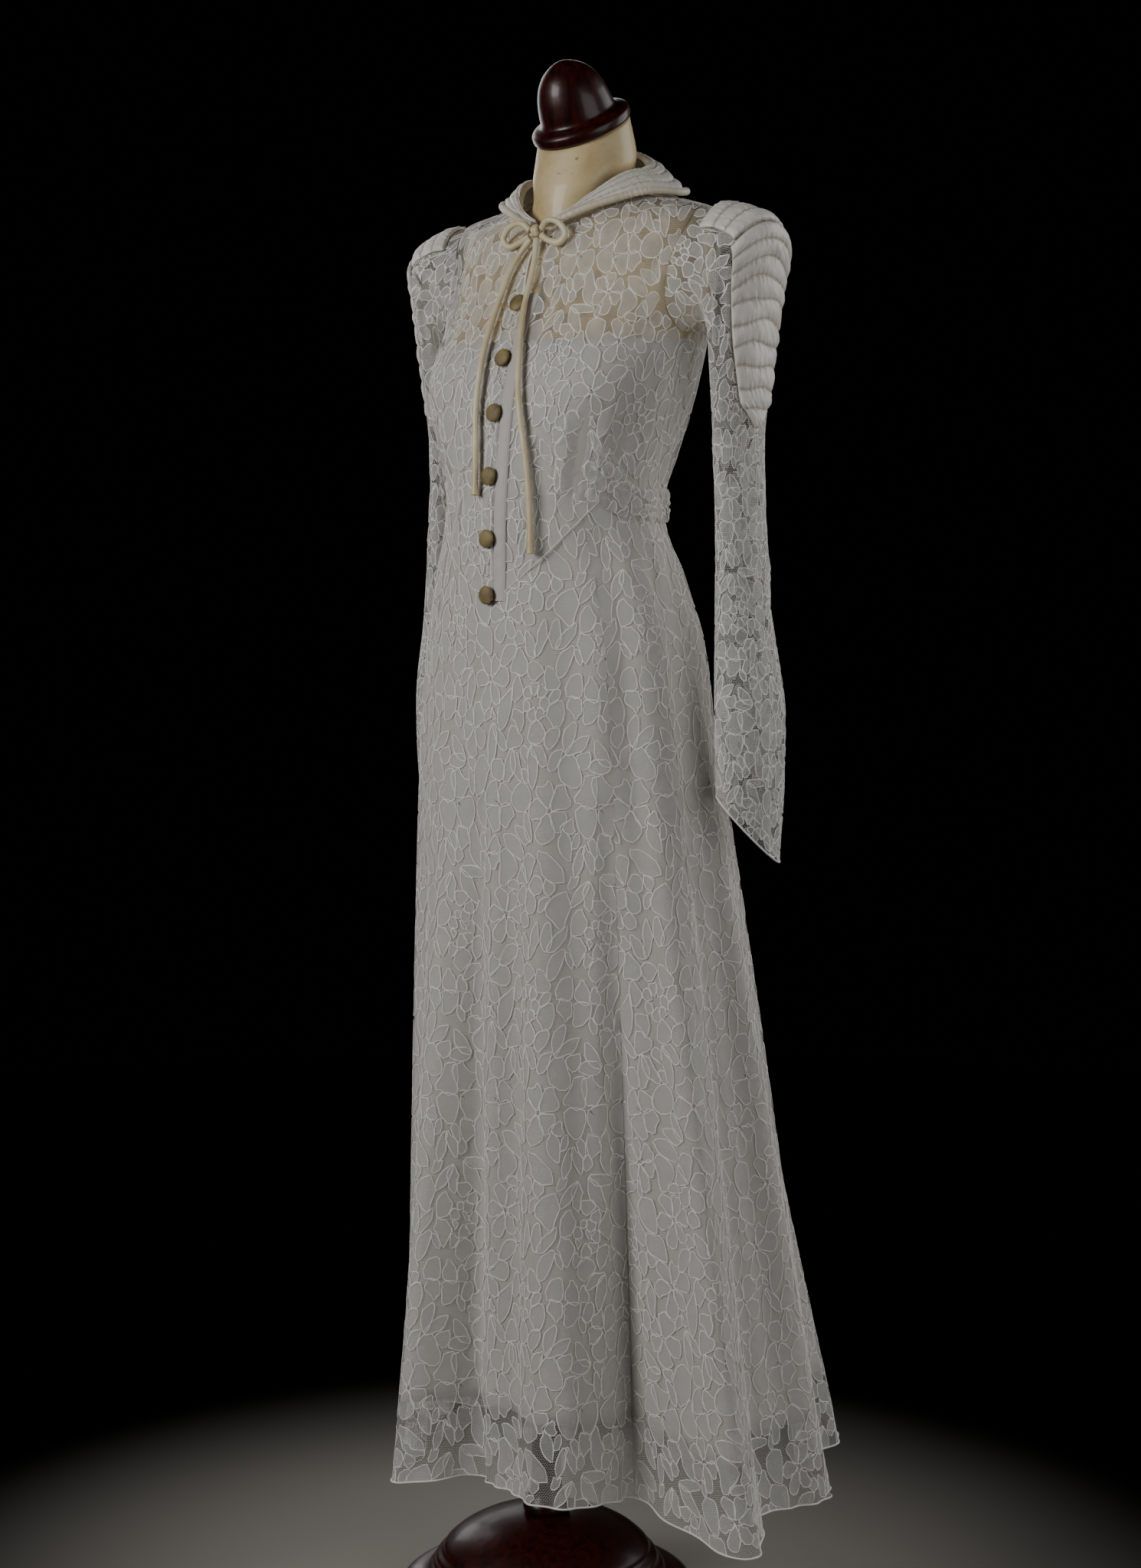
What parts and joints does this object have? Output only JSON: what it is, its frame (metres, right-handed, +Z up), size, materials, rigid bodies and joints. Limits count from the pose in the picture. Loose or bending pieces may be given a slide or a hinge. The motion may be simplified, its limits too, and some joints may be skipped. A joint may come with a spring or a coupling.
{
  "type": "lace wedding dress on a dress form",
  "caption": "Full-length long-sleeved lace wedding dress with quilted satin collar and shoulders, a tied neck, buttoned front and flared hem, on a limbless dress form with a turned stand.",
  "frame": {"origin": "centre of the stand's flat underside, on the floor", "axes": "+Z up along the stand's pole; the dress faces -Y and its own left side is at +X"},
  "size_m": [0.5898, 0.5564, 1.707],
  "materials": {
    "lace": "corded cotton lace on a fine net, matt",
    "slip_crepe": "plain crepe, soft sheen",
    "quilted_satin": "quilted ivory satin",
    "tie_satin": "satin rouleau cord",
    "button_satin": "satin-covered, tarnished to gold",
    "form_cover": "smooth stretched linen cover",
    "mahogany": "turned mahogany, French polish"
  },
  "bodies": {
    "root": {"bodice_front_left": "lace", "bodice_front_right": "lace", "bodice_back": "lace", "skirt_front": "lace", "skirt_left": "lace", "skirt_back": "lace", "skirt_right": "lace", "top_sleeve_left": "lace", "top_sleeve_right": "lace", "under_sleeve_left": "lace", "under_sleeve_right": "lace", "placket": "lace", "sash_left": "lace", "sash_right": "lace", "slip_skirt": "slip_crepe", "slip_top": "slip_crepe", "epaulette_left": "quilted_satin", "epaulette_right": "quilted_satin", "shoulder_strip_left": "quilted_satin", "shoulder_strip_right": "quilted_satin", "collar": "quilted_satin", "collar_cord": "quilted_satin", "tie_knot": "tie_satin", "tie_loop_left": "tie_satin", "tie_loop_right": "tie_satin", "tie_tail_left": "tie_satin", "tie_tail_right": "tie_satin", "button_1": "button_satin", "button_2": "button_satin", "button_3": "button_satin", "button_4": "button_satin", "button_5": "button_satin", "button_6": "button_satin", "form_torso": "form_cover", "form_cap": "mahogany", "stand_pole": "mahogany", "stand_base": "mahogany"}
  },
  "joints": []
}
